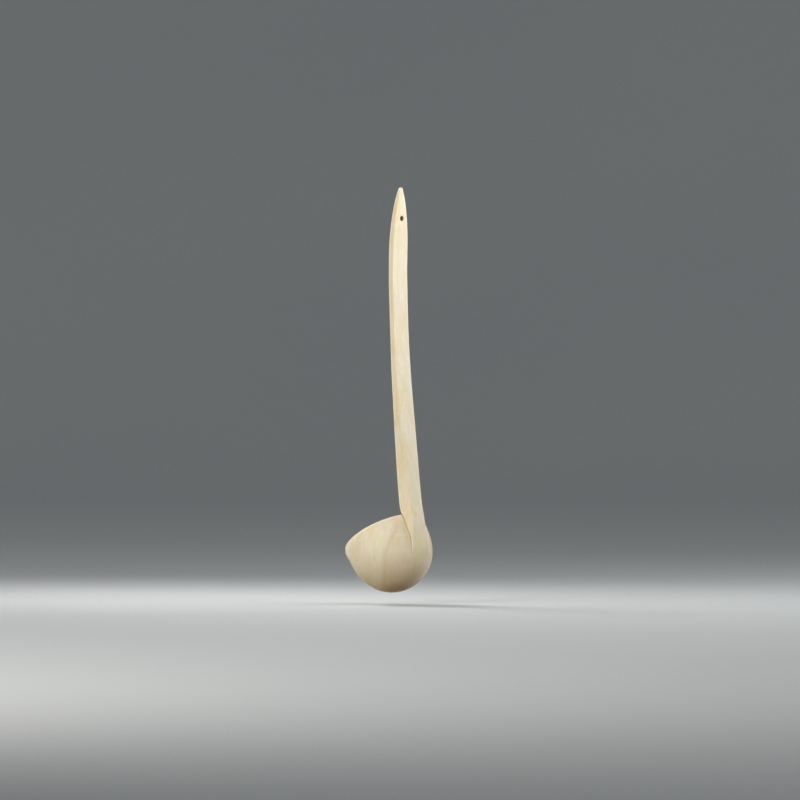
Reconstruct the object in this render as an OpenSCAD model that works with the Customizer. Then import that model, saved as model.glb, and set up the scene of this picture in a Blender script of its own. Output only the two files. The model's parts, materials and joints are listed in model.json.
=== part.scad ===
// Long-handled serving ladle carved from one billet of linden wood.
// Frame: the origin is the middle of the hanging hole, +Z points to the handle's tip,
// the bowl opens towards -Y, and X = 0 is the plane of symmetry. Millimetres.

/* [Handle] */
// Height of the pointed tip above the hanging hole
tip_z = 26; // [22:0.5:30]
// Width of the broad blade
blade_w = 17.7; // [14:0.1:22]
// Thickness of the blade
blade_t = 5.7; // [4.5:0.1:7]
// Thickness of the point itself
tip_t = 3.2; // [3:0.1:4.5]
// Width where the handle meets the bowl
neck_w = 16.4; // [14:0.1:20]
// Thickness where the handle meets the bowl
neck_t = 11.6; // [9:0.1:14]
// How far the handle's back spreads to each side as it runs onto the bowl
foot_spread = 1.2; // [0:0.1:1.5]
// Width of the flat taken off each long edge
arris = 0.7; // [0.4:0.1:1]

/* [Hanging hole] */
// Radius of the drilled hole
hole_r = 2.2; // [1.5:0.1:3]

/* [Bowl] */
// Greatest outer radius, square to the bowl's own axis
bowl_r = 35.2; // [33:0.1:38]
// Outer depth from the widest ring to the bottom
bowl_depth = 39.8; // [37:0.1:43]
// Fullness of the bowl's outline: 2 is an ellipse, more is fuller low down
fullness = 2.25; // [2:0.05:2.6]
// Height of the rim above the widest ring
rim_height = 12.7; // [10:0.1:15]
// Lean of the bowl's axis towards the front, in degrees
bowl_lean = 29.4; // [20:0.1:35]
// Wall thickness at the sides
side_wall = 4; // [3:0.1:5]
// Wall thickness at the bottom
bottom_wall = 6; // [5:0.1:8]
// Radius of the rounding on both edges of the rim
rim_round = 1.4; // [1:0.1:1.5]

/* [Hidden] */
$fn = 96;

// Middle of the bowl's widest ring: how far in front of the hole, and how far below it.
bowl_y = -11.4;
bowl_z = -275.7;

// The pointed end begins at the shoulder.
shoulder_z = -30;
tip_swell = 0.7;    // under 1 keeps the flanks of the point full
tip_turns = 14;     // rings from the shoulder to the point
tip_stop = 84;      // degrees, short of 90 so that the point keeps a small flat

// The handle thickens and narrows between these heights.
thick_top = -90;
narrow_top = -130;
neck_z = -250;
foot_top = -252;
foot_run = 26;      // the foot reaches its full spread this far below foot_top
foot_z = -285;
ring_step = 5;

// Middle of the handle's thickness, as [z, y] from the foot to the tip.
spine = [
    [-312, 8], [-296, 15.4], [-278, 19], [-266, 17.8], [-252, 15.9], [-238, 12.7], [-200, 8.4], [-160, 4.6],
    [-120, 1.3], [-80, -0.7], [-40, -1.6], [0, -0.1], [20, 0.9], [40, 2.5],
];

bowl_steps = 22;    // facets of the bowl's outline, from the bottom to the rim
round_steps = 4;    // facets of each rounding on the rim
gouge_depth = 2.2;  // how far the hollow at the handle's foot stays inside the rim's edge
gouge_height = 6;   // how far that hollow climbs above the rim

function ease(s) = let (c = min(1, max(0, s))) c * c * (3 - 2 * c);
function blend(a, b, s) = a + (b - a) * ease(s);

// Cubic through the middle two of four [z, y] points, read at height z.
function slope(p, q) = (q[1] - p[1]) / (q[0] - p[0]);
function hermite(p0, p1, p2, p3, z) =
    let (h = p2[0] - p1[0], s = (z - p1[0]) / h, m1 = slope(p0, p2) * h, m2 = slope(p1, p3) * h)
    (2 * s ^ 3 - 3 * s ^ 2 + 1) * p1[1] + (s ^ 3 - 2 * s ^ 2 + s) * m1
    + (3 * s ^ 2 - 2 * s ^ 3) * p2[1] + (s ^ 3 - s ^ 2) * m2;
function span_at(z, i = 1) = z <= spine[i + 1][0] || i >= len(spine) - 3 ? i : span_at(z, i + 1);
function spine_y(z) = let (i = span_at(z)) hermite(spine[i - 1], spine[i], spine[i + 1], spine[i + 2], z);

// How far a height is from the shoulder (0) to the tip (1).
function tip_part(z) = max(0, (z - shoulder_z) / (tip_z - shoulder_z));
function half_width(z) = z > shoulder_z
    ? blade_w / 2 * (1 - tip_part(z) ^ 2) ^ tip_swell
    : blend(blade_w, neck_w, (narrow_top - z) / (narrow_top - neck_z)) / 2;
function thickness(z) = z > shoulder_z
    ? blade_t - (blade_t - tip_t) * tip_part(z) ^ 3
    : blend(blade_t, neck_t, (thick_top - z) / (thick_top - neck_z));

// One eight-sided cross-section of the handle, its corners cut at 45 degrees.
function section(z) =
    let (w = half_width(z), b = w + foot_spread * ease((foot_top - z) / foot_run))
    let (t = thickness(z) / 2, y = spine_y(z), c = min(arris, w / 2, t / 2))
    [
        [w, y - t + c, z], [b, y + t - c, z], [b - c, y + t, z], [c - b, y + t, z],
        [-b, y + t - c, z], [-w, y - t + c, z], [c - w, y - t, z], [w - c, y - t, z],
    ];

// A solid through a stack of sections, from the lowest to the highest.
module sweep(sections) {
    n = len(sections[0]);
    rings = len(sections);
    polyhedron(
        points = [for (s = sections) each s],
        faces = concat(
            [[for (i = [0 : n - 1]) i]],
            [[for (i = [n - 1 : -1 : 0]) (rings - 1) * n + i]],
            [for (k = [0 : rings - 2], i = [0 : n - 1])
                let (j = (i + 1) % n) [k * n + i, (k + 1) * n + i, (k + 1) * n + j, k * n + j]]
        ),
        convexity = 4
    );
}

// Half outline of an egg-shaped solid, from its bottom to the height of the rim.
function egg_radius(r, depth, v) = r * sqrt(max(0, 1 - (abs(v) / depth) ^ fullness));
function egg(r, depth) =
    let (top = asin(rim_height / depth))
    [for (i = [0 : bowl_steps])
        let (v = depth * sin(-90 + (90 + top) * i / bowl_steps)) [egg_radius(r, depth, v), v]];

inner_r = bowl_r - side_wall;
inner_depth = bowl_depth - bottom_wall;
rim_outer = egg_radius(bowl_r, bowl_depth, rim_height - rim_round);
rim_inner = egg_radius(inner_r, inner_depth, rim_height - rim_round);

// Points of an outline that stay below the height where the rim's rounding starts.
function below_round(points) = [for (p = points) if (p[1] < rim_height - rim_round) p];
// Quarter circle at the rim; side is 1 on the outer edge and -1 on the inner edge.
function rim_arc(r, side) =
    [for (i = [0 : round_steps]) let (a = 90 * i / round_steps)
        [r - side * rim_round * (1 - cos(a)), rim_height - rim_round * (1 - sin(a))]];
function reversed(list) = [for (i = [len(list) - 1 : -1 : 0]) list[i]];

function outer_outline() = concat(below_round(egg(bowl_r, bowl_depth)), rim_arc(rim_outer, 1));
function inner_outline() = concat(below_round(egg(inner_r, inner_depth)), rim_arc(rim_inner, -1));

module on_bowl_axis() {
    translate([0, bowl_y, bowl_z]) rotate([bowl_lean, 0, 0]) children();
}

module bowl() {
    color("#d9b98a") on_bowl_axis() rotate_extrude()
        polygon(concat(outer_outline(), reversed(inner_outline())));
}

// The bowl's outer shape with no hollow, which the handle's foot is cut to fit.
module bowl_block() {
    on_bowl_axis() rotate_extrude() polygon(concat(outer_outline(), [[0, rim_height]]));
}

// The round hollow that a gouge leaves above the rim, at the front of the handle's foot.
module gouge_cut() {
    on_bowl_axis() rotate_extrude() polygon([
        [0, rim_height], [rim_outer - rim_round, rim_height],
        [rim_outer - rim_round, rim_height + gouge_height / 2],
        [rim_outer - rim_round - gouge_depth, rim_height + gouge_height], [0, rim_height + gouge_height],
    ]);
}

module hanging_hole() {
    rotate([90, 0, 0]) cylinder(h = 4 * blade_t, r = hole_r, center = true);
}

module handle() {
    lower = [for (z = [foot_z : ring_step : shoulder_z]) section(z)];
    upper = [for (i = [1 : tip_turns])
        section(shoulder_z + (tip_z - shoulder_z) * sin(tip_stop * i / tip_turns))];
    color("#e3c79b") difference() {
        sweep(concat(lower, upper));
        bowl_block();
        gouge_cut();
        hanging_hole();
    }
}

bowl();
handle();
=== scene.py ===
import json
import math

import bpy
import numpy as np
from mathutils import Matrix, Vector, kdtree, noise


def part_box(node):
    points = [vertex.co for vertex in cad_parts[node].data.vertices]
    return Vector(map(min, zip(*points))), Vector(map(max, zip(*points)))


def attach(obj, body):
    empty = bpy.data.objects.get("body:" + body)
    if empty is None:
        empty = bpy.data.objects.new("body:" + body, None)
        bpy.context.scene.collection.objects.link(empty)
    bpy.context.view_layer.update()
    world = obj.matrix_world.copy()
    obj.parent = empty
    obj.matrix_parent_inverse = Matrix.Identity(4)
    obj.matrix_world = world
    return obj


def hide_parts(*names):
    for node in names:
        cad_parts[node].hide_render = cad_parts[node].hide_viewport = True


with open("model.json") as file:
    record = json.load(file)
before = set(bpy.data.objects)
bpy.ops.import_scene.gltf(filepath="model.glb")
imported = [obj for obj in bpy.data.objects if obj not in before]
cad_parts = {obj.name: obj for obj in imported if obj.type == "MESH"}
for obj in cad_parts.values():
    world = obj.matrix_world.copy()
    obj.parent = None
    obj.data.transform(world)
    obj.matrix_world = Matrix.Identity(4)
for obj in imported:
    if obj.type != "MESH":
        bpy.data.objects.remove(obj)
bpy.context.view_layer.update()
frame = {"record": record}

MM = 0.001

# ---------------------------------------------------------------- sizes, in mm

HANDLE_BOX = [np.array(corner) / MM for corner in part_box("handle")]
BOWL_BOX = [np.array(corner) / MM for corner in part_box("bowl")]
HOLE = next(m for m in frame["record"]["mounts"] if m["name"] == "hanging_hole")
HOLE_R = HOLE["dims"]["r_mm"]

TIP_Z = HANDLE_BOX[1][2] + 0.3      # where the outline of the point would close
BLADE_HALF = 8.85                   # half the blade's width
BLADE_T = 5.7                       # thickness of the blade
TIP_T = 3.2                         # thickness at the point
TIP_SWELL = 0.7                     # under 1 keeps the flanks of the point full
TIP_ROUND = 0.985                   # the last share of the point's height, from here up, is rounded off
TIP_FLAT = 0.02                     # square of the share of the thickness that is left at the very end
NECK_HALF = 8.2                     # half the width at the bowl
NECK_T = 11.6                       # thickness at the bowl
ARRIS_R = 0.85                      # rounding of the handle's long edges
ARRIS_SHARE = 0.45                  # and never more than this share of half the width or thickness
CROWN_WIDE = 0.22                   # how far the broad faces swell in their middle
CROWN_SIDE = 0.12                   # the same on the side faces

SHOULDER_Z = -30                    # the pointed end begins here
THICK_TOP = -90                     # the handle starts to thicken
NARROW_TOP = -130                   # and to narrow
NECK_Z = -250                       # both end at this height
FLARE_TOP = -222                    # below this the side faces turn out towards the bowl
FLARE = 0.07                        # share of the half width that the front gains and the back loses
FLARE_RUN = 30                      # height over which it grows
FLARE_FOOT_RUN = 20                 # the back has its share again this far below FOOT_TOP
NOTCH_TOP = -244                    # the front face curves back below this height
NOTCH = 1.6                         # and has gone back this far at the rim
NOTCH_RUN = 6                       # which is this much lower
NOTCH_MOST = 1.15                   # inside the bowl the curve goes on only this far, as a share of the run
FOOT_TOP = -252                     # the back spreads to the sides below this height
FOOT = 2.4                          # by this much on each side where it ends
FOOT_RUN = 26                       # this much lower

SPINE = np.array([                  # [height, middle of the handle's thickness]
    [-312, 8], [-296, 15.4], [-278, 19.0], [-266, 17.8], [-252, 15.9], [-238, 12.7], [-200, 8.4],
    [-160, 4.6], [-120, 1.3], [-80, -0.7], [-40, -1.6], [0, -0.1], [20, 0.9], [40, 2.5],
], float)

BOWL_R = BOWL_BOX[1][0]             # outer radius of the widest ring
BOWL_DEPTH = 39.8                   # from the widest ring to the bottom
BELLY = 2.25                        # over 2 makes the bowl fuller than an egg, low down
RIM = 12.7                          # from the widest ring up to the rim
LEAN = math.radians(29.4)           # lean of the bowl's axis to the front
BOWL_MID = np.array([0, -11.4, -275.7])
SIDE_WALL = 4
BOTTOM_WALL = 6
RIM_ROUND = 1.4

LIP = 3.2                           # how far the front of the rim stands out as a pouring lip
LIP_POINT = 5                       # more makes the lip narrower
LIP_RISE = [[0.25, -8, 12], [0.75, 1, 8]]       # [share of it, height where that starts, height it takes]
LIP_TOP = 8.7                       # above this height the lip draws in again
LIP_DRAW = 0.17                     # by this share
LIP_INSIDE = 8                      # it has faded out this far past the rim's top, along the wall
LIP_INSIDE_LOW = 2                  # and leaves the inside alone below this height
VALLEY = 2.0                        # depth of the hollow carved in the bowl's wall beside the handle
VALLEY_WIDE = 7.5                   # and how far it spreads
VALLEY_TOP = RIM - 0.4              # it starts at this height
VALLEY_RUN = 11                     # is deepest this much lower
VALLEY_LOW = 24                     # and has run out this far below the widest ring
SEAM_TURN = math.asin(NECK_HALF / BOWL_R)
BLEND = 4.0                         # reach of the smooth join between the handle's back and the bowl
BLEND_FLAT = 1.5                    # half the width over which it has its full reach
BLEND_LOW = 6                       # it starts to fade this far below the seam's middle
BLEND_FADE = 16                     # and has gone after this height
SEAM_Z = -276                       # height of the seam in the middle of the back
SEAM_LOW = -281.5                   # the seam's corners stop here, where the two skins almost touch
SEAM_FLOOR = -292.0                 # the whole handle is inside the bowl here
REAR_Y = 12                         # only the outer back of the ladle lies beyond this
CREASE = 0.32                       # depth of the knife cut along the seam
CREASE_FADE = 24                    # the cut runs out over this height at its lower end
CREASE_FRONT = 0.4                  # share of its depth across the front

WOBBLE = [[26, 0.16], [9, 0.05]]    # [size, depth] of the unevenness that hand carving leaves
WOBBLE_SEED = 7                     # without it the noise would differ from run to run

ACROSS = np.array([1.0, 0, 0])
REAR = np.array([0, math.cos(LEAN), math.sin(LEAN)])
UP = np.array([0, -math.sin(LEAN), math.cos(LEAN)])


def ease(s):
    s = np.clip(s, 0, 1)
    return s * s * (3 - 2 * s)


# ---------------------------------------------------------------- the handle's surface

def spine_y(z):
    """Cubic through the spine's points, with the slope at each point taken from its neighbours."""
    h, y = SPINE.T
    slopes = np.gradient(y)
    slopes[1:-1] = (y[2:] - y[:-2]) / (h[2:] - h[:-2])
    i = np.clip(np.searchsorted(h, z) - 1, 1, len(h) - 3)
    span = h[i + 1] - h[i]
    s = (z - h[i]) / span
    return ((2 * s**3 - 3 * s**2 + 1) * y[i] + (s**3 - 2 * s**2 + s) * slopes[i] * span
            + (3 * s**2 - 2 * s**3) * y[i + 1] + (s**3 - s**2) * slopes[i + 1] * span)


def tip_part(z):
    return np.clip((z - SHOULDER_Z) / (TIP_Z - SHOULDER_Z), 0, 1)


def half_width(z):
    low = BLADE_HALF + (NECK_HALF - BLADE_HALF) * ease((NARROW_TOP - z) / (NARROW_TOP - NECK_Z))
    return low * (1 - tip_part(z) ** 2) ** TIP_SWELL


def half_thickness(z):
    low = BLADE_T + (NECK_T - BLADE_T) * ease((THICK_TOP - z) / (THICK_TOP - NECK_Z))
    past = np.clip((tip_part(z) - TIP_ROUND) / (1 - TIP_ROUND), 0, 1)
    end = np.sqrt(np.clip(1 - past**2, TIP_FLAT, 1))
    return (low - (BLADE_T - TIP_T) * tip_part(z) ** 3) / 2 * end


def on_handle(ring, z):
    """Points of the handle's skin: ring gives each point's place round the section, z its height."""
    ex, ey, nx, ny = ring
    half = half_width(z)
    thick = half_thickness(z)
    notch = NOTCH * np.clip((NOTCH_TOP - z) / NOTCH_RUN, 0, NOTCH_MOST) ** 2 / 2
    thick = thick - notch
    flare = FLARE * ease((FLARE_TOP - z) / FLARE_RUN)
    foot = FOOT * ease((FOOT_TOP - z) / FOOT_RUN)
    foot = foot + flare * NECK_HALF * ease((FOOT_TOP - z) / FLARE_FOOT_RUN)
    half = half * (1 - flare * ey) + foot * ((1 + ey) / 2) ** 2
    round_r = np.minimum(ARRIS_R, ARRIS_SHARE * np.minimum(half, thick))
    x = ex * (half - round_r) + (round_r + CROWN_SIDE * (1 - ey**2)) * nx
    y = spine_y(z) + notch + ey * (thick - round_r) + (round_r + CROWN_WIDE * (1 - ex**2)) * ny
    return np.stack([x, y, z + 0 * x], -1)


def face_y(x, z, side):
    """The y of a broad face of the blade above the notch: side is 1 for the back and -1 for the front."""
    across = x / (half_width(z) - ARRIS_R)
    return spine_y(z) + side * (half_thickness(z) + CROWN_WIDE * (1 - across**2))


N_WIDE = 14          # cells across a broad face
N_SIDE = 10          # cells across a side face
N_ARC = 4            # cells round an arris


def ring_template():
    """Points once round the section, from the back arris at +X: back, -X side, front, +X side.

    Each has its place, from -1 to 1 across and from front to back, and the direction in which it faces.
    """
    points = []
    corners = [(1, 1), (-1, 1), (-1, -1), (1, -1)]
    for k, (cx, cy) in enumerate(corners):
        nxt = corners[(k + 1) % 4]
        count = N_WIDE if k % 2 == 0 else N_SIDE
        start = math.atan2(cy, cx)
        for i in range(N_ARC // 2):
            a = start + math.pi / 2 * i / N_ARC
            points.append((cx, cy, math.cos(a), math.sin(a)))
        face = start + math.pi / 4
        for i in range(count):
            t = i / count
            x = cx + (nxt[0] - cx) * t
            y = cy + (nxt[1] - cy) * t
            points.append((x, y, math.cos(face), math.sin(face)))
        for i in range(N_ARC // 2):
            a = face + math.pi / 2 * i / N_ARC
            points.append((nxt[0], nxt[1], math.cos(a), math.sin(a)))
    return np.array(points).T


# ---------------------------------------------------------------- the bowl's surface

def egg_radius(r, depth, v):
    return r * np.sqrt(np.clip(1 - np.abs(v / depth) ** BELLY, 0, 1))


INNER_R = BOWL_R - SIDE_WALL
INNER_DEPTH = BOWL_DEPTH - BOTTOM_WALL
DENSE = 4000                        # outline points on each side of the wall
ARC_DENSE = 500                     # and on each rounding of the rim
BISECTIONS = 40                     # halvings in each search for where two surfaces meet


def outline():
    """Dense points [radius, height] of the wall's half section: from the bottom, over the rim, and in."""
    low = RIM - RIM_ROUND
    a = np.sin(np.linspace(-math.pi / 2, math.asin(low / BOWL_DEPTH), DENSE)) * BOWL_DEPTH
    b = np.linspace(0, math.pi / 2, ARC_DENSE)
    c = np.sin(np.linspace(math.asin(low / INNER_DEPTH), -math.pi / 2, DENSE)) * INNER_DEPTH
    shift_out = egg_radius(BOWL_R, BOWL_DEPTH, low)
    shift_in = egg_radius(INNER_R, INNER_DEPTH, low)
    outer = np.stack([egg_radius(BOWL_R, BOWL_DEPTH, a), a], -1)
    arc_out = np.stack([shift_out - RIM_ROUND * (1 - np.cos(b)), low + RIM_ROUND * np.sin(b)], -1)
    b = b[::-1]
    arc_in = np.stack([shift_in + RIM_ROUND * (1 - np.cos(b)), low + RIM_ROUND * np.sin(b)], -1)
    inner = np.stack([egg_radius(INNER_R, INNER_DEPTH, c), c], -1)
    return np.concatenate([outer, arc_out[1:], arc_in, inner[1:]])


OUTLINE = outline()
ALONG = np.concatenate([[0], np.cumsum(np.hypot(*np.diff(OUTLINE, axis=0).T))])
TOP = DENSE + ARC_DENSE - 1         # outline points on the outer side of the rim's top
PAST_TOP = 400                      # points beyond it that may still be the nearest to the outside
OUT_END = ALONG[TOP - 1]            # where the outer rounding reaches the rim's top


def carved(turn, v):
    """How far the outer wall stands out from the plain egg shape, in mm."""
    turn = np.abs((turn + math.pi) % (2 * math.pi) - math.pi)
    front = ((1 - np.cos(turn)) / 2) ** LIP_POINT
    lip = LIP * front * sum(share * ease((v - start) / run) for share, start, run in LIP_RISE)
    lip = lip * (1 - LIP_DRAW * ease((v - LIP_TOP) / (RIM - LIP_TOP)))
    beside = np.maximum(turn - SEAM_TURN, 0) * BOWL_R / VALLEY_WIDE
    depth = VALLEY * ease((VALLEY_TOP - v) / VALLEY_RUN) * (1 - ease(-v / VALLEY_LOW))
    return lip - depth * np.exp(-beside**2)


def on_bowl(turn, s):
    """Points of the bowl's skin: turn is the angle from the handle, s the distance along the outline."""
    r = np.interp(s, ALONG, OUTLINE[:, 0])
    v = np.interp(s, ALONG, OUTLINE[:, 1])
    fade = 1 - ease((s - OUT_END) / LIP_INSIDE)
    r = r + carved(turn, v) * np.where(s < OUT_END, 1, np.where(v > LIP_INSIDE_LOW, fade, 0))
    x = (r * np.sin(turn))[..., None]
    u = (r * np.cos(turn))[..., None]
    return BOWL_MID + x * ACROSS + u * REAR + v[..., None] * UP


def bowl_coords(p):
    """Distance from the bowl's axis, height along it, and angle from the handle, of points."""
    d = p - BOWL_MID
    x, u, v = d @ ACROSS, d @ REAR, d @ UP
    return np.hypot(x, u), v, np.arctan2(x, u)


def beyond_wall(p):
    """How far points lie outside the bowl's outer wall, measured square to its axis."""
    r, v, turn = bowl_coords(p)
    return r - np.interp(v, OUTLINE[:TOP, 1], OUTLINE[:TOP, 0]) - carved(turn, v)


def wall_y(x, z):
    """The y of the bowl's outer wall behind a place given by x and z."""
    low = np.full(len(x), BOWL_MID[1])
    high = low + 2 * BOWL_R
    for _ in range(BISECTIONS):
        y = (low + high) / 2
        outside = beyond_wall(np.stack([x, y, z], -1)) > 0
        low = np.where(outside, low, y)
        high = np.where(outside, y, high)
    return low


def inside_block(p):
    """True inside the bowl's outer shape, taken as solid up to the rim."""
    return (bowl_coords(p)[1] < RIM) & (beyond_wall(p) < 0)


def nearest_along(p):
    """Outline distance and angle of the places on the bowl's outside that are nearest to points."""
    r, v, turn = bowl_coords(p)
    r = r - carved(turn, v)
    wall = OUTLINE[:TOP + PAST_TOP]
    gap = np.hypot(r[:, None] - wall[None, :, 0], v[:, None] - wall[None, :, 1])
    return ALONG[np.argmin(gap, axis=1)], turn


# ---------------------------------------------------------------- one mesh: bowl grid, seam, handle rings

RING = ring_template()
N_RING = RING.shape[1]
K = (N_WIDE + N_ARC) // 2           # the handle covers 2 K of the bowl's columns
N_FLANK = N_SIDE + N_ARC            # and this many of its rows
OPEN_COLS = 142                     # columns of the bowl round its open side
OPEN_FIRST = 0.013                  # angle of the first of them, beside the handle
BELOW_ROWS = 44                     # rows of the bowl below the handle
BELOW_FIRST = 0.5                   # length of the first of them, under the handle
RIM_ROWS = 3                        # from the handle's front to the rim's flat top
RIM_FIRST = 0.3                     # length of the first of them
ON_TOP = 1.0                        # they end this far past the outer rounding, along the outline
TOP_ROWS = 8                        # across the rim's top and its inner rounding
TURNED_IN = 5.5                     # which end this far past the outer rounding
INNER_ROWS = 41                     # from there down to the middle of the inside
POLE = 0.35                         # the grid stops this far from the bowl's axis
RIM_ROW = BELOW_ROWS + N_FLANK + 1  # the row that follows the rim's outer edge
PULL_BELOW = 16                     # rows below the handle that are drawn to the seam
PULL_ABOVE = 13                     # rows above its front
PULL_BESIDE = 25                    # and about so many columns to each side
PULL_ROUNDS = 900                   # rounds of averaging that spread the pull
JOIN_Z = -236.0                     # the handle's rings are level from this height up
NECK_RINGS = 18                     # rings from the seam up to it
NECK_FIRST = 0.016                  # share of that way that the first one takes
BLADE_STEP = 2.0                    # height between rings above it
TIP_RINGS = 26                      # rings from the hole to the tip
TIP_TURN = math.radians(88.5)       # their heights follow a sine up to this angle
TIP_CAP = 0.05                      # the last point stands this far above the last ring
PATCH = 6.6                         # height of the patch of skin that holds the hanging hole
PATCH_CELLS = 8                     # cells along each side of it
PATCH_MARGIN = 0.9                  # height from it to the next ring above
HOLE_EDGE = [[0.7, 0], [0.3, 0.02], [0.1, 0.12], [0, 0.35]]     # [beyond the hole's radius, below the face]
BORE_RINGS = [0.33, 0.67]           # rings inside the bore, as shares of the way from back to front
BACK_PATCH = (N_WIDE + N_ARC - PATCH_CELLS) // 2        # where the patch starts round the ring, behind
FRONT_PATCH = BACK_PATCH + N_RING // 2                  # and in front
HOLE_CELLS = [start + cell for start in (BACK_PATCH, FRONT_PATCH) for cell in range(PATCH_CELLS)]
RUBBED_AND_HIGHLIT_ARRISES = [2 * K, N_RING // 2, N_RING // 2 + 2 * K]      # all but the back one at +X
CUT_RING = np.arange(2 * K, N_RING + 1) % N_RING        # the ring places that the knife cut follows


def seam_heights():
    """For each point of the ring, the height at which its line down the handle enters the bowl."""
    high = np.full(N_RING, JOIN_Z)
    low = np.full(N_RING, SEAM_FLOOR)
    for _ in range(BISECTIONS):
        mid = (high + low) / 2
        inside = inside_block(on_handle(RING, mid))
        low = np.where(inside, mid, low)
        high = np.where(inside, high, mid)
    return np.maximum((high + low) / 2, SEAM_LOW)


def graded(start, end, count, first):
    """count steps from start to end that begin with a step of about first and grow evenly."""
    t = np.linspace(0, 1, count + 1)
    share = min(1.0, first * count / abs(end - start))
    return start + (end - start) * (share * t + (1 - share) * t**2)


class Skin:
    """Collects vertices and quads, then makes one mesh object of them."""

    def __init__(self):
        self.points = []
        self.faces = []

    def add(self, points):
        first = len(self.points)
        self.points.extend(np.asarray(points, float).reshape(-1, 3))
        return np.arange(first, len(self.points))

    def strip(self, a, b, gap=()):
        """Quads between two closed rings of the same count, except the ones numbered in gap."""
        n = len(a)
        for i in range(n):
            j = (i + 1) % n
            if i not in gap:
                self.faces.append((a[i], a[j], b[j], b[i]))


def bowl_grid(seam):
    """Angles and outline distances of the bowl's grid, drawn to the seam by a smooth pull."""
    s_seam, turn_seam = nearest_along(seam)
    back = np.arange(0, 2 * K + 1)                      # ring indices of each side of the seam
    left = np.arange(2 * K, 2 * K + N_FLANK + 1)
    front = np.arange(2 * K + N_FLANK, 4 * K + N_FLANK + 1)
    right = np.arange(4 * K + N_FLANK, N_RING + 1) % N_RING

    edge = (turn_seam[right].mean() - turn_seam[left].mean()) / 2
    open_turns = graded(edge, math.pi, OPEN_COLS // 2, OPEN_FIRST)
    handle_turns = turn_seam[front] * edge / turn_seam[front[-1]]
    # columns 0 to 2 K run from -X to +X behind the handle, and the rest go round the front
    beyond = 2 * math.pi - open_turns[1:-1][::-1]
    turns = np.concatenate([handle_turns, open_turns[1:-1], [math.pi], beyond])

    s_side = s_seam[right][::-1]                        # from the back corner up to the front corner
    s_low, s_high = s_side[0], s_side[-1]
    below = graded(s_low, POLE, BELOW_ROWS, BELOW_FIRST)[::-1]
    on_top = OUT_END + ON_TOP
    turned_in = OUT_END + TURNED_IN
    rows = np.concatenate([below[:-1], s_side, graded(s_high, on_top, RIM_ROWS, RIM_FIRST)[1:],
                           np.linspace(on_top, turned_in, TOP_ROWS + 1)[1:],
                           np.linspace(turned_in, ALONG[-1] - POLE, INNER_ROWS + 1)[1:]])
    a = BELOW_ROWS
    b = a + N_FLANK

    turn = np.tile(turns, (len(rows), 1))
    s = np.tile(rows[:, None], (1, len(turns)))
    pull = np.zeros((2,) + turn.shape)
    fixed = np.zeros(turn.shape, bool)

    def pin(row, col, index):
        pull[0, row, col] = turn_seam[index] - turn[row, col]
        pull[1, row, col] = s_seam[index] - s[row, col]
        fixed[row, col] = True

    for k in range(2 * K + 1):
        pin(a, 2 * K - k, back[k])
        pin(b, k, front[k])
    for k in range(N_FLANK + 1):
        pin(a + k, 0, left[k])
        pin(a + k, 2 * K, right[::-1][k])
    far = np.ones(turn.shape, bool)
    far[a - PULL_BELOW:b + PULL_ABOVE + 1] = False
    far[:, 2 * K + PULL_BESIDE + 1:len(turns) - PULL_BESIDE - 1] = True
    pull[:, far & ~fixed] = 0
    free = ~(far | fixed)
    for _ in range(PULL_ROUNDS):
        beside = np.roll(pull, 1, 1) + np.roll(pull, -1, 1) + np.roll(pull, 1, 2) + np.roll(pull, -1, 2)
        pull[:, free] = beside[:, free] / 4
    return turn + pull[0], s + pull[1], a, b, (back, left, front, right)


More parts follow.
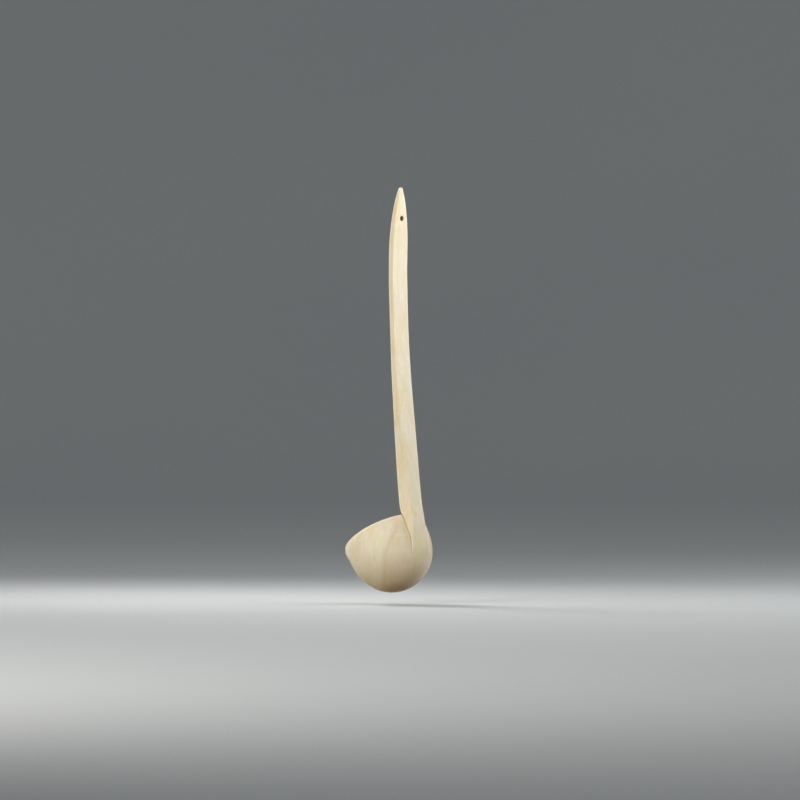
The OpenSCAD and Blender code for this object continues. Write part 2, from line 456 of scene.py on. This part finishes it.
def build_ladle():
    skin = Skin()
    heights = seam_heights()
    seam = on_handle(RING, heights)
    turn, s, a, b, (back, left, front, right) = bowl_grid(seam)
    rows, cols = turn.shape
    grid = skin.add(on_bowl(turn, s)).reshape(rows, cols)

    for r in range(rows - 1):
        for c in range(cols):
            if a <= r < b and c < 2 * K:
                continue                                 # the handle grows out of this gap
            d = (c + 1) % cols
            skin.faces.append((grid[r, c], grid[r + 1, c], grid[r + 1, d], grid[r, d]))
    bottom = skin.add([on_bowl(np.array(0.0), np.array(0.0))])[0]
    inside = skin.add([on_bowl(np.array(0.0), np.array(ALONG[-1]))])[0]
    for c in range(cols):
        d = (c + 1) % cols
        skin.faces.append((grid[0, c], grid[0, d], bottom))
        skin.faces.append((grid[-1, d], grid[-1, c], inside))

    first = np.zeros(N_RING, int)                        # the seam's own vertices, in ring order
    for k in range(2 * K + 1):
        first[back[k]] = grid[a, 2 * K - k]
        first[front[k]] = grid[b, k]
    for k in range(N_FLANK + 1):
        first[left[k]] = grid[a + k, 0]
        first[right[::-1][k]] = grid[a + k, 2 * K]
    for i, vertex in enumerate(first):
        skin.points[vertex] = seam[i]

    rings = [first]
    for t in graded(0, 1, NECK_RINGS, NECK_FIRST)[1:]:
        rings.append(skin.add(on_handle(RING, heights + (JOIN_Z - heights) * t)))
    hole_rows = np.linspace(-PATCH / 2, PATCH / 2, PATCH_CELLS + 1)
    start = math.asin(tip_part(hole_rows[-1] + PATCH_MARGIN))
    above = SHOULDER_Z + (TIP_Z - SHOULDER_Z) * np.sin(np.linspace(start, TIP_TURN, TIP_RINGS))
    blade = np.arange(JOIN_Z, hole_rows[0] - BLADE_STEP / 4, BLADE_STEP)[1:]
    level = np.concatenate([blade, hole_rows, above])
    hole_ring = len(rings) + int(np.searchsorted(level, hole_rows[0]))
    for z in level:
        rings.append(skin.add(on_handle(RING, np.full(N_RING, z))))
    for k in range(len(rings) - 1):
        in_rows = hole_ring <= k < hole_ring + PATCH_CELLS
        skin.strip(rings[k], rings[k + 1], HOLE_CELLS if in_rows else ())
    tip = skin.add([np.mean([skin.points[i] for i in rings[-1]], axis=0) + [0, 0, TIP_CAP]])[0]
    for i in range(N_RING):
        skin.faces.append((rings[-1][i], rings[-1][(i + 1) % N_RING], tip))
    bore(skin, rings[hole_ring:hole_ring + PATCH_CELLS + 1])
    return skin, rings, grid, first


def bore(skin, rows):
    """The hanging hole: a round drilled bore between the gaps left in the back and front faces."""
    mouths = []
    for start, side in ((BACK_PATCH, 1), (FRONT_PATCH, -1)):
        end = start + PATCH_CELLS
        gap = [rows[0][i] for i in range(start, end)] + [row[end] for row in rows[:-1]]
        gap += [rows[-1][i] for i in range(end, start, -1)] + [row[start] for row in rows[:0:-1]]
        corners = np.array([skin.points[i] for i in gap])
        angle = np.arctan2(corners[:, 2], corners[:, 0])
        loop = np.array(gap)
        for out, depth in HOLE_EDGE:
            x = (HOLE_R + out) * np.cos(angle)
            z = (HOLE_R + out) * np.sin(angle)
            inner = skin.add(np.stack([x, face_y(x, z, side) - side * depth, z], -1))
            skin.strip(loop, inner)
            loop = inner
        mouths.append(loop)
    back, front = mouths
    front = np.roll(front[::-1], PATCH_CELLS + 1)        # the same places in the back mouth's order
    loop = back
    for t in BORE_RINGS:
        middle = skin.add([skin.points[p] * (1 - t) + skin.points[q] * t for p, q in zip(back, front)])
        skin.strip(loop, middle)
        loop = middle
    skin.strip(loop, front)


def dense(points, step=0.3):
    """Points about every step along a line."""
    points = np.asarray(points, float)
    out = [points[:1]]
    for p, q in zip(points[:-1], points[1:]):
        count = max(1, int(np.linalg.norm(q - p) / step))
        out.append(p + (q - p) * (np.arange(1, count + 1) / count)[:, None])
    return np.concatenate(out)


def gaps(points, lines):
    """Distance in mm from each point to the nearest of the lines."""
    marks = np.concatenate([dense(line) for line in lines])
    tree = kdtree.KDTree(len(marks))
    for i, mark in enumerate(marks):
        tree.insert(mark, i)
    tree.balance()
    return np.array([tree.find(p)[2] for p in points])


def soften_back(points):
    """Round off the join between the handle's back and the bowl, except at the handle's edges."""
    x, y, z = points.T
    near = (z < JOIN_Z) & (z > BOWL_MID[2] - BOWL_R) & (np.abs(x) < NECK_HALF + FOOT) & (y > REAR_Y)
    p = points[near]
    apart = np.abs(wall_y(p[:, 0], p[:, 2]) - face_y(p[:, 0], p[:, 2], 1))
    middle = 1 - ease((np.abs(p[:, 0]) - BLEND_FLAT) / (NECK_HALF - 1))
    reach = np.maximum(BLEND * middle, 0.001)
    close = np.clip(1 - apart / reach, 0, 1)
    fade = 1 - ease((SEAM_Z - BLEND_LOW - p[:, 2]) / BLEND_FADE)
    points[near, 1] += close**2 * reach / 4 * fade


def wobble(points):
    """Shift every point a little by smooth noise, as a carver's hand does."""
    noise.seed_set(WOBBLE_SEED)
    for size, depth in WOBBLE:
        for i, p in enumerate(points):
            points[i] = p + depth * np.array(noise.noise_vector(Vector(p / size)))


def make_ladle():
    skin, rings, grid, seam = build_ladle()
    used = np.unique(np.concatenate([np.array(face) for face in skin.faces]))
    place = np.full(len(skin.points), -1)
    place[used] = np.arange(len(used))
    points = np.array(skin.points)[used]
    faces = [tuple(int(place[i]) for i in face) for face in skin.faces]
    seam = place[seam]
    arrises = [[place[ring[i]] for ring in rings] for i in RUBBED_AND_HIGHLIT_ARRISES]

    soften_back(points)
    wobble(points)

    mesh = bpy.data.meshes.new("ladle")
    mesh.from_pydata([tuple(p * MM) for p in points], [], faces)
    mesh.validate()
    normals = np.zeros(len(points) * 3)
    mesh.vertex_normals.foreach_get("vector", normals)
    normals = normals.reshape(-1, 3)

    cut = seam[CUT_RING]
    low = points[cut, 2].min()
    depth = CREASE * ease((points[cut, 2] - low) / CREASE_FADE)
    depth[N_FLANK:N_FLANK + 2 * K + 1] *= CREASE_FRONT
    points[cut] -= depth[:, None] * normals[cut]
    mesh.vertices.foreach_set("co", (points * MM).ravel())

    rim = place[grid[RIM_ROW]]
    edge_lines = [points[line] for line in arrises] + [points[np.append(rim, rim[0])]]
    values = {"seam_gap": gaps(points, [points[cut]]), "edge_gap": gaps(points, edge_lines)}
    for name, value in values.items():
        mesh.attributes.new(name, "FLOAT", "POINT").data.foreach_set("value", value)

    in_cut = set(int(i) for i in cut)
    for edge in mesh.edges:
        if edge.vertices[0] in in_cut and edge.vertices[1] in in_cut:
            edge.use_edge_sharp = True
    for polygon in mesh.polygons:
        polygon.use_smooth = True
    mesh.update()
    obj = bpy.data.objects.new("ladle", mesh)
    bpy.context.scene.collection.objects.link(obj)
    return obj


ladle = make_ladle()
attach(ladle, "root")
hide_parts("bowl", "handle")


# ---------------------------------------------------------------- the wood

def srgb(red, green, blue):
    """Linear colour from one given as it looks on a screen, 0 to 255."""
    parts = [value / 255 for value in (red, green, blue)]
    return tuple(p / 12.92 if p <= 0.04045 else ((p + 0.055) / 1.055) ** 2.4 for p in parts) + (1,)


class Graph:
    """Short calls that add shader nodes to a material and wire them."""

    def __init__(self, name):
        self.material = bpy.data.materials.new(name)
        self.material.use_nodes = True
        self.nodes = self.material.node_tree.nodes
        self.links = self.material.node_tree.links
        self.bsdf = self.nodes["Principled BSDF"]

    def add(self, kind, inputs=(), **settings):
        node = self.nodes.new(kind)
        for key, value in settings.items():
            setattr(node, key, value)
        for key, value in dict(inputs).items():
            self.feed(node.inputs[key], value)
        return node

    def feed(self, socket, value):
        if isinstance(value, bpy.types.NodeSocket):
            self.links.new(value, socket)
        else:
            socket.default_value = value

    def math(self, operation, a, b=0.0):
        return self.add("ShaderNodeMath", {0: a, 1: b}, operation=operation).outputs[0]

    def vector(self, operation, a, b):
        return self.add("ShaderNodeVectorMath", {0: a, 1: b}, operation=operation).outputs[0]

    def measure(self, operation, a, b=(0.0, 0.0, 0.0)):
        """One number from vectors: DISTANCE, DOT_PRODUCT or LENGTH."""
        return self.add("ShaderNodeVectorMath", {0: a, 1: b}, operation=operation).outputs["Value"]

    def noise(self, place, stretch, detail=2.0, rough=0.5, shift=0.0):
        """Noise from 0 to 1 whose features are about as large as stretch says along X, Y and Z."""
        scaled = self.vector("DIVIDE", place, stretch)
        moved = self.vector("ADD", scaled, (shift, shift * 1.7, -shift))
        inputs = {"Vector": moved, "Scale": 1.0, "Detail": detail, "Roughness": rough}
        return self.add("ShaderNodeTexNoise", inputs).outputs["Fac"]

    def rise(self, value, start, end, low=0.0, high=1.0):
        """Smooth step from low to high as value goes from start to end."""
        inputs = {"Value": value, "From Min": start, "From Max": end, "To Min": low, "To Max": high}
        return self.add("ShaderNodeMapRange", inputs, interpolation_type="SMOOTHSTEP").outputs["Result"]

    def mix(self, share, a, b, blend="MIX"):
        node = self.add("ShaderNodeMix", data_type="RGBA", blend_type=blend)
        for number, value in ((0, share), (6, a), (7, b)):          # the node's factor and its two colours
            self.feed(node.inputs[number], value)
        return node.outputs[2]

    def tint(self, colour, share, tone):
        """Multiply a colour by tone, as far as share says."""
        return self.mix(share, colour, tone, "MULTIPLY")


CREAM = srgb(233, 222, 198)         # plain face of the wood
WARM = (1.0, 0.945, 0.88, 1)        # this tone and those below multiply it
OLIVE = (0.95, 0.975, 0.87, 1)
PALE = (1.05, 1.05, 1.06, 1)
LATE_WOOD = (0.87, 0.81, 0.70, 1)   # the dark edge of a year's growth
FIBRE = (0.88, 0.85, 0.79, 1)
FLECK = (0.80, 0.72, 0.60, 1)       # short dark vessels
UNDERSIDE_SHADE_AND_STAIN = (0.55, 0.475, 0.39, 1)      # on the underside of the bowl: a brown stain and painted shade, darker towards the bottom
# painted shade and stain, deepest at the very bottom of the bowl
DEEP_SHADE_AND_STAIN = (0.70, 0.65, 0.60, 1)
OCHRE = (0.98, 0.87, 0.62, 1)
HOLE_SHADE = (0.34, 0.26, 0.13, 1)      # painted shade on the wall of the hanging hole
SAWN = (0.975, 0.953, 0.895, 1)     # the handle's narrow sides
CUT_SHADE = (0.60, 0.43, 0.27, 1)        # painted shade along the knife cut
WORN_AND_HIGHLIGHT = (1.19, 1.20, 1.22, 1)        # rubbed edges, lightened also as a painted highlight

# The rest is in mm. Sizes are how large the features of a noise are along X, Y and Z.
BEND_SIZE = (38, 38, 110)           # slow wandering of the grain
BEND = (7, 7, 0)                    # which shifts it by up to half this
FIBRE_SIZE = (0.55, 0.55, 26)
STREAK_SIZE = (1.9, 1.9, 70)
VESSEL_SIZE = (0.38, 0.38, 3.4)
CLOUD_SIZE = (15, 15, 24)
CLOUD_FINE_SIZE = (5.5, 5.5, 8.5)
OLIVE_SIZE = (11, 11, 21)

PITH = (-25.0, -95.0)               # where the middle of the tree would be
RING_GAP = 2.4                      # width of a year's growth
YEAR_SIZE = (1.6, 1, 1)             # over how many years their darkness changes
DARK_YEAR = (-0.67, 0.74, 0.0)      # square to one darker year, which is nearly flat across the bowl
DARK_YEAR_AT = -12.0                # how far along that direction it lies, low on the bowl
DARK_YEAR_LEAN = 10                 # and how much further high on the bowl
DARK_YEAR_RISE = (-284, -254)       # it leans between these heights
DARK_YEAR_TOP = (-262, -248)        # and fades out between these
DARK_YEAR_HALF = 4.2                # half its width

SAWN_RISE = (-275, -255)            # the tint of the narrow sides comes in between these heights
UNDERSIDE = (8.5, -6.0, BOWL_BOX[0][2])         # middle of the stained underside, which also carries painted shade
SHADE_AND_STAIN_REACH = (12, 62)              # the stain and the painted shade fade out between these distances from it
DARK_SPOT = (1.0, 3.0, BOWL_BOX[0][2] + 1)      # where the stain and the painted shade are deepest
DARK_REACH = (4, 20)
OCHRE_SPOT = (11.0, 2.0, BOWL_BOX[0][2] + 4)    # a small yellow-brown spot beside it
OCHRE_REACH = (6, 17)
HOLE_SHADE_REACH = (HOLE_R - 0.05, HOLE_R + 0.2)    # distances from the hole's axis
CUT_SHADE_REACH = (0.1, 0.95)            # distances from the knife cut
CUT_SHADE_RISE = (-284, -266)            # the painted shade comes in between these heights
RUBBED_AND_HIGHLIGHT_REACH = (0.5, 1.7)           # distances from a rubbed edge that carries the painted highlight
GRAIN_DEPTH = 0.12


def linden():
    """Pale, close-grained linden wood, cut and scraped and left bare."""
    g = Graph("linden_wood")
    local = g.add("ShaderNodeTexCoord").outputs["Object"]
    place = g.vector("DIVIDE", local, (MM, MM, MM))
    inputs = {"Vector": g.vector("DIVIDE", place, BEND_SIZE), "Scale": 1.0, "Detail": 1.0}
    bend = g.add("ShaderNodeTexNoise", inputs).outputs["Color"]
    drift = g.vector("MULTIPLY", g.vector("SUBTRACT", bend, (0.5, 0.5, 0.5)), BEND)
    grain = g.vector("ADD", place, drift)
    split = g.add("ShaderNodeSeparateXYZ", {0: grain})
    up = split.outputs[2]

    # the years' rings, round the pith, each with a dark outer edge
    out_x = g.math("SUBTRACT", split.outputs[0], PITH[0])
    out_y = g.math("SUBTRACT", split.outputs[1], PITH[1])
    out = g.math("SQRT", g.math("ADD", g.math("MULTIPLY", out_x, out_x), g.math("MULTIPLY", out_y, out_y)))
    years = g.math("DIVIDE", out, RING_GAP)
    phase = g.math("FRACT", years)
    late = g.math("MULTIPLY", g.rise(phase, 0.25, 0.92), g.rise(phase, 0.94, 1.0, 1.0, 0.0))
    year = g.add("ShaderNodeCombineXYZ", {0: g.math("FLOOR", years)}).outputs[0]
    year_tone = g.noise(year, YEAR_SIZE, detail=1.0)
    late = g.math("MULTIPLY", late, g.rise(year_tone, 0.3, 0.7, 0.04, 0.22))

    # one darker year down the bowl, with slightly darker wood beyond it
    along = g.measure("DOT_PRODUCT", grain, DARK_YEAR)
    leaning = g.rise(up, *DARK_YEAR_RISE, DARK_YEAR_AT, DARK_YEAR_AT + DARK_YEAR_LEAN)
    past_year = g.math("SUBTRACT", along, leaning)
    off_year = g.math("ABSOLUTE", past_year)
    beyond = g.rise(past_year, -1.0, 2.0, 0.0, 0.25)
    dark_year = g.math("ADD", g.rise(off_year, 0.0, DARK_YEAR_HALF, 0.54, 0.0), beyond)
    dark_year = g.math("MULTIPLY", dark_year, g.rise(up, *DARK_YEAR_TOP, 1.0, 0.0))

    # fibres, short dark vessels, and slow changes of tone
    fibre = g.noise(grain, FIBRE_SIZE, detail=4.0, rough=0.62)
    streak = g.noise(grain, STREAK_SIZE, detail=3.0, rough=0.55, shift=4.0)
    vessel = g.noise(grain, VESSEL_SIZE, rough=0.6, shift=9.0)
    cloud = g.noise(place, CLOUD_SIZE, shift=2.0)
    cloud_fine = g.noise(place, CLOUD_FINE_SIZE, rough=0.55, shift=7.0)
    olive = g.noise(place, OLIVE_SIZE, shift=13.0)

    colour = g.tint(CREAM, g.rise(cloud, 0.38, 0.66), WARM)
    colour = g.tint(colour, g.rise(olive, 0.48, 0.68), OLIVE)
    colour = g.tint(colour, g.rise(cloud_fine, 0.52, 0.74, 0.0, 0.22), LATE_WOOD)
    colour = g.tint(colour, g.rise(cloud_fine, 0.46, 0.28), PALE)
    colour = g.tint(colour, late, LATE_WOOD)
    colour = g.tint(colour, dark_year, LATE_WOOD)
    colour = g.tint(colour, g.rise(streak, 0.46, 0.70, 0.0, 0.3), FIBRE)
    colour = g.tint(colour, g.rise(fibre, 0.48, 0.72, 0.0, 0.4), FIBRE)
    colour = g.tint(colour, g.rise(vessel, 0.63, 0.74, 0.0, 0.5), FLECK)

    # the handle's narrow sides are a little yellower than its broad faces
    facing = g.add("ShaderNodeSeparateXYZ", {0: g.add("ShaderNodeNewGeometry").outputs["Normal"]})
    side = g.rise(g.math("ABSOLUTE", facing.outputs[0]), 0.6, 0.95)
    colour = g.tint(colour, g.math("MULTIPLY", side, g.rise(up, *SAWN_RISE)), SAWN)

    # wear and painted light: a stained underside with painted shade, painted shade in the hole and along
    # the knife cut, and pale rubbed edges with a painted highlight
    # painted shade: the underside is darkened towards the bottom, together with a brown stain
    patchy = g.math("ADD", g.measure("DISTANCE", place, UNDERSIDE), g.math("MULTIPLY", cloud_fine, 7))
    colour = g.tint(colour, g.rise(patchy, *SHADE_AND_STAIN_REACH, 1.0, 0.0), UNDERSIDE_SHADE_AND_STAIN)
    # painted shade, deepest at the lowest point of the bowl, with the stain
    deepest = g.measure("DISTANCE", place, DARK_SPOT)
    colour = g.tint(colour, g.rise(deepest, *DARK_REACH, 1.0, 0.0), DEEP_SHADE_AND_STAIN)
    spotty = g.math("ADD", g.measure("DISTANCE", place, OCHRE_SPOT), g.math("MULTIPLY", cloud_fine, 8))
    colour = g.tint(colour, g.rise(spotty, *OCHRE_REACH, 1.0, 0.0), OCHRE)
    # painted shade inside the hanging hole
    from_hole = g.measure("LENGTH", g.vector("MULTIPLY", place, (1, 0, 1)))
    colour = g.tint(colour, g.rise(from_hole, *HOLE_SHADE_REACH, 0.9, 0.0), HOLE_SHADE)
    # painted shade along the knife cut
    seam_gap = g.add("ShaderNodeAttribute", attribute_name="seam_gap").outputs["Fac"]
    cut_shade = g.math("MULTIPLY", g.rise(seam_gap, *CUT_SHADE_REACH, 0.75, 0.0), g.rise(up, *CUT_SHADE_RISE, 0.15, 1.0))
    colour = g.tint(colour, cut_shade, CUT_SHADE)
    # painted highlight on the rim and the arrises, together with rubbed wear
    edge_gap = g.add("ShaderNodeAttribute", attribute_name="edge_gap").outputs["Fac"]
    rubbed_and_highlight = g.rise(edge_gap, *RUBBED_AND_HIGHLIGHT_REACH, 1.0, 0.0)
    rubbed_and_highlight = g.math("MULTIPLY", rubbed_and_highlight, g.rise(cloud_fine, 0.3, 0.6, 0.65, 1.0))
    colour = g.tint(colour, rubbed_and_highlight, WORN_AND_HIGHLIGHT)
    g.feed(g.bsdf.inputs["Base Color"], colour)

    roughness = g.math("ADD", g.rise(fibre, 0.3, 0.75, 0.50, 0.64), g.math("MULTIPLY", rubbed_and_highlight, -0.07))
    g.feed(g.bsdf.inputs["Roughness"], roughness)
    height = g.math("ADD", g.math("MULTIPLY", fibre, 0.6), g.math("MULTIPLY", late, -0.25))
    height = g.math("ADD", height, g.math("MULTIPLY", g.rise(vessel, 0.6, 0.74), -0.35))
    bump = g.add("ShaderNodeBump", {"Height": height, "Strength": 0.35, "Distance": GRAIN_DEPTH * MM})
    g.feed(g.bsdf.inputs["Normal"], bump.outputs["Normal"])
    return g.material


ladle.data.materials.append(linden())


# ---------------------------------------------------------------- the stage, camera and lights

FLOOR_DROP = 10                     # mm from the ladle down to the floor, over which it hangs
FLOOR_R = 6.5                       # metres of flat floor all round it
CURVE_R = 3.5                       # metres, radius of the curve from the floor to the wall
WALL_TOP = 9.0                      # metres
FLOOR_STEPS = 12                    # rings of the flat floor
CURVE_STEPS = 24                    # and of the curve
STAGE_SIDES = 96
PAPER = (srgb(200, 203, 204), srgb(206, 208, 208))
PAPER_TOOTH = (0.004, 0.004, 0.004)             # metres, size of its fine unevenness
PAPER_CLOUD = (0.9, 0.9, 0.9)       # metres, size of its changes of tone

VIEW_AZIMUTH = math.radians(132)    # the camera sees the back of the handle and its +X side
VIEW_FROM = 6.0                     # metres to the camera
FRAME_WIDE = 673.3                  # mm, the picture's width at the ladle
AIM = (0.5, -152.7)                 # mm, middle of the picture: to the right of the hole, and up
SENSOR = 36                         # mm
FAR_END = 100                       # metres

TO_CAMERA = Vector((math.sin(VIEW_AZIMUTH), -math.cos(VIEW_AZIMUTH), 0))
TO_RIGHT = Vector((-TO_CAMERA.y, TO_CAMERA.x, 0))

SKY = (0.95, 0.97, 1.0, 1)
SKY_POWER = 0.33


def make_stage():
    """A pale floor that curves up into a round wall, so that no line shows behind the ladle."""
    profile = [(FLOOR_R * k / FLOOR_STEPS, 0.0) for k in range(1, FLOOR_STEPS + 1)]
    for k in range(1, CURVE_STEPS + 1):
        a = math.radians(90) * k / CURVE_STEPS
        profile.append((FLOOR_R + CURVE_R * math.sin(a), CURVE_R * (1 - math.cos(a))))
    profile.append((FLOOR_R + CURVE_R, WALL_TOP))
    sides = STAGE_SIDES
    floor_z = (BOWL_BOX[0][2] - FLOOR_DROP) * MM
    points = [(0, 0, floor_z)]
    for radius, height in profile:
        for k in range(sides):
            a = 2 * math.pi * k / sides
            points.append((radius * math.cos(a), radius * math.sin(a), floor_z + height))
    faces = [(0, 1 + k, 1 + (k + 1) % sides) for k in range(sides)]
    for row in range(len(profile) - 1):
        for k in range(sides):
            a = 1 + row * sides + k
            b = 1 + row * sides + (k + 1) % sides
            faces.append((a, a + sides, b + sides, b))
    mesh = bpy.data.meshes.new("floor")
    mesh.from_pydata(points, [], faces)
    for polygon in mesh.polygons:
        polygon.use_smooth = True
    stage = bpy.data.objects.new("floor", mesh)
    bpy.context.scene.collection.objects.link(stage)

    g = Graph("floor_paper")
    local = g.add("ShaderNodeTexCoord").outputs["Object"]
    tooth = g.noise(local, PAPER_TOOTH, detail=3.0)
    tone = g.noise(local, PAPER_CLOUD, detail=1.0)
    g.feed(g.bsdf.inputs["Base Color"], g.mix(tone, *PAPER))
    g.feed(g.bsdf.inputs["Roughness"], g.rise(tooth, 0.3, 0.7, 0.82, 0.92))
    mesh.materials.append(g.material)


def make_camera():
    data = bpy.data.cameras.new("camera")
    camera = bpy.data.objects.new("camera", data)
    bpy.context.scene.collection.objects.link(camera)
    aim = TO_RIGHT * AIM[0] * MM + Vector((0, 0, AIM[1] * MM))
    camera.location = aim + TO_CAMERA * VIEW_FROM
    camera.rotation_mode = "QUATERNION"
    camera.rotation_quaternion = (-TO_CAMERA).to_track_quat("-Z", "Y")
    data.sensor_width = SENSOR
    data.lens = data.sensor_width * VIEW_FROM / (FRAME_WIDE * MM)
    data.clip_end = FAR_END
    bpy.context.scene.camera = camera


def make_lamp(name, right, up, near, size, power, colour, aim_z=-0.16, spread=180):
    """A soft round lamp, placed from the hanging hole: metres to the right, up and towards the camera.

    aim_z is the height at which it points, and spread the angle of its beam in degrees.
    """
    data = bpy.data.lights.new(name, "AREA")
    data.shape = "DISK"
    data.size = size
    data.energy = power
    data.color = colour
    data.spread = math.radians(spread)
    lamp = bpy.data.objects.new(name, data)
    lamp.location = TO_RIGHT * right + TO_CAMERA * near + Vector((0, 0, up))
    lamp.rotation_mode = "QUATERNION"
    lamp.rotation_quaternion = (lamp.location - Vector((0, 0, aim_z))).to_track_quat("Z", "Y")
    lamp.visible_camera = False
    bpy.context.scene.collection.objects.link(lamp)


def make_world():
    world = bpy.data.worlds.new("studio")
    world.use_nodes = True
    sky = world.node_tree.nodes["Background"]
    sky.inputs["Color"].default_value = SKY
    sky.inputs["Strength"].default_value = SKY_POWER
    bpy.context.scene.world = world


make_stage()
make_camera()
make_lamp("key", right=-1.35, up=0.55, near=2.0, size=1.2, power=38,
          colour=(1.0, 0.975, 0.93), aim_z=-0.2)
make_lamp("crown", right=0.40, up=0.34, near=0.28, size=0.25, power=0.30,
          colour=(1.0, 0.995, 0.96), aim_z=0.02, spread=55)
make_lamp("fill", right=1.45, up=0.35, near=-0.4, size=0.7, power=9,
          colour=(0.97, 0.985, 1.0))
make_lamp("edge", right=-0.85, up=0.85, near=-1.05, size=0.8, power=2.0,
          colour=(1.0, 0.99, 0.97), aim_z=-0.2, spread=50)
make_world()
bpy.context.scene.view_settings.view_transform = "Standard"
